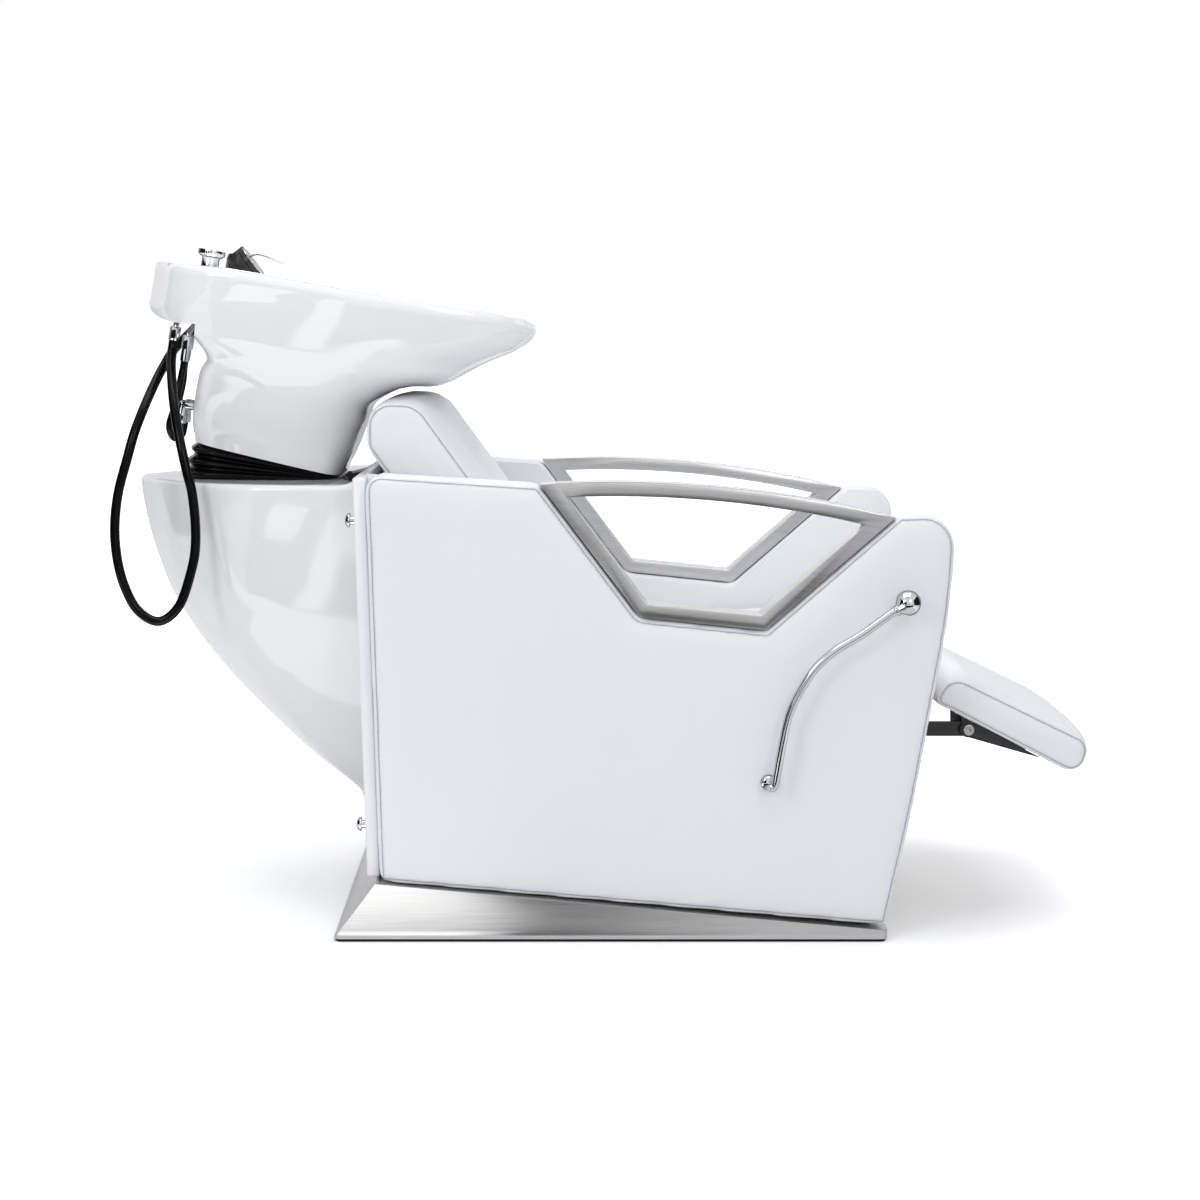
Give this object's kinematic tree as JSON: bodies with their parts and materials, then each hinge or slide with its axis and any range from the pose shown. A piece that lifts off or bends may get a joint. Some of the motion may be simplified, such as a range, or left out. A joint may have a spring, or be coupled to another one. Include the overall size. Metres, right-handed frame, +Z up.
{
  "type": "shampoo station",
  "caption": "Wash chair with side panels, arm frames and a folding leg rest, joined at its back to a column that carries a tilting wash bowl with a mixer and a hand shower.",
  "frame": {"origin": "middle of the base on the floor", "axes": "+X towards the feet, +Y towards the side without the lever, +Z up"},
  "size_m": [1.4375, 0.708, 0.999],
  "materials": {
    "leatherette": "soft satin, fine grain",
    "ceramic": "polished glaze",
    "cover": "polished",
    "stainless": "brushed along its length",
    "chrome": "polished",
    "black_steel": "satin black paint",
    "zinc": "clear zinc plate",
    "steel": "plain",
    "rubber": "smooth",
    "black_plastic": "satin",
    "plywood": "birch, lacquered",
    "white_board": "satin white",
    "white_plastic": "plain"
  },
  "bodies": {
    "root": {"floor_gasket": "rubber", "floor_plate": "steel", "plinth_shell": "stainless", "side_board_near": "plywood", "side_board_far": "plywood", "side_pad_near": "leatherette", "side_pad_far": "leatherette", "armrest_near": "stainless", "armrest_far": "stainless", "seat_board": "plywood", "seat_cushion": "leatherette", "back_board": "plywood", "back_cushion": "leatherette", "board_brackets": "steel", "rear_board": "white_board", "rear_screws": "chrome", "cover_shell": "cover", "cover_deck": "cover", "gaiter": "rubber", "bowl_bracket": "black_steel", "hinge_pin": "steel", "hinge_nuts": "zinc", "waste_hose": "rubber", "waste_trap": "white_plastic", "inlet_valves": "chrome", "lever_bush": "zinc", "hinge_blocks": "black_steel", "control_brackets": "black_steel"},
    "bowl": {"bowl": "ceramic", "bowl_carrier": "black_steel", "carrier_bolts": "zinc", "drain_strainer": "chrome", "drain_tail": "chrome", "shower_guide": "chrome", "shower_hose": "rubber", "mixer_body": "black_plastic", "mixer_pipes": "chrome", "pipe_nuts": "chrome", "feed_hoses": "rubber", "inlet_elbows": "chrome"},
    "shower": {"shower_head": "chrome"},
    "mixer_cap": {"mixer_cap": "black_plastic"},
    "mixer_lever": {"mixer_lever": "chrome"},
    "leg_links": {"leg_link_near": "black_steel", "leg_link_far": "black_steel"},
    "control_links": {"control_links": "black_steel"},
    "leg_rest": {"leg_bracket": "black_steel", "leg_cushion": "leatherette", "leg_bolts": "zinc"},
    "lever": {"lever_hub": "chrome", "lever_rod": "chrome", "lever_ball": "chrome", "lever_shaft": "steel"},
    "push_rod": {"push_rod": "black_steel"}
  },
  "joints": [
    {"name": "leg_fold", "type": "hinge", "parent": "root", "child": "leg_links", "pos_m": [0.428, 0, 0.293], "axis": [0, 1, 0], "range_deg": [0, 45]},
    {"name": "leg_rest_turn", "type": "hinge", "parent": "leg_links", "child": "leg_rest", "pos_m": [0.528, 0, 0.293], "axis": [0, 1, 0], "range_deg": [0, 15]},
    {"name": "control_turn", "type": "hinge", "parent": "root", "child": "control_links", "pos_m": [0.4254, 0, 0.2916], "axis": [0, 1, 0], "range_deg": [0, 42]},
    {"name": "lever_turn", "type": "hinge", "parent": "root", "child": "lever", "pos_m": [0.223, -0.25, 0.235], "axis": [0, 1, 0], "range_deg": [0, 45]},
    {"name": "push_rod_turn", "type": "hinge", "parent": "lever", "child": "push_rod", "pos_m": [0.22562, -0.2125, 0.20511], "axis": [0, 1, 0], "range_deg": [-45, 0]},
    {"name": "bowl_tilt", "type": "hinge", "parent": "root", "child": "bowl", "pos_m": [-0.42, 0, 0.635], "axis": [0, -1, 0], "range_deg": [0, 10], "deforming": ["gaiter", "waste_hose"]},
    {"name": "shower_lift", "type": "slide", "parent": "bowl", "child": "shower", "axis": [0.1736, 0, 0.9848], "range_m": [0, 0.03]},
    {"name": "mixer_swivel", "type": "hinge", "parent": "bowl", "child": "mixer_cap", "pos_m": [-0.55486, 0.02, 0.97184], "axis": [0.7986, 0, 0.6018], "range_deg": [-45, 45]},
    {"name": "mixer_lift", "type": "hinge", "parent": "mixer_cap", "child": "mixer_lever", "pos_m": [-0.55646, 0.02, 0.98227], "axis": [0, -1, 0], "range_deg": [0, 20]}
  ],
  "couplings": [
    {"joint": "leg_rest_turn", "follows": "leg_fold", "ratio": 0.33333},
    {"joint": "control_turn", "follows": "leg_fold", "ratio": 0.917},
    {"joint": "lever_turn", "follows": "leg_fold", "ratio": 1},
    {"joint": "push_rod_turn", "follows": "leg_fold", "ratio": -1}
  ]
}
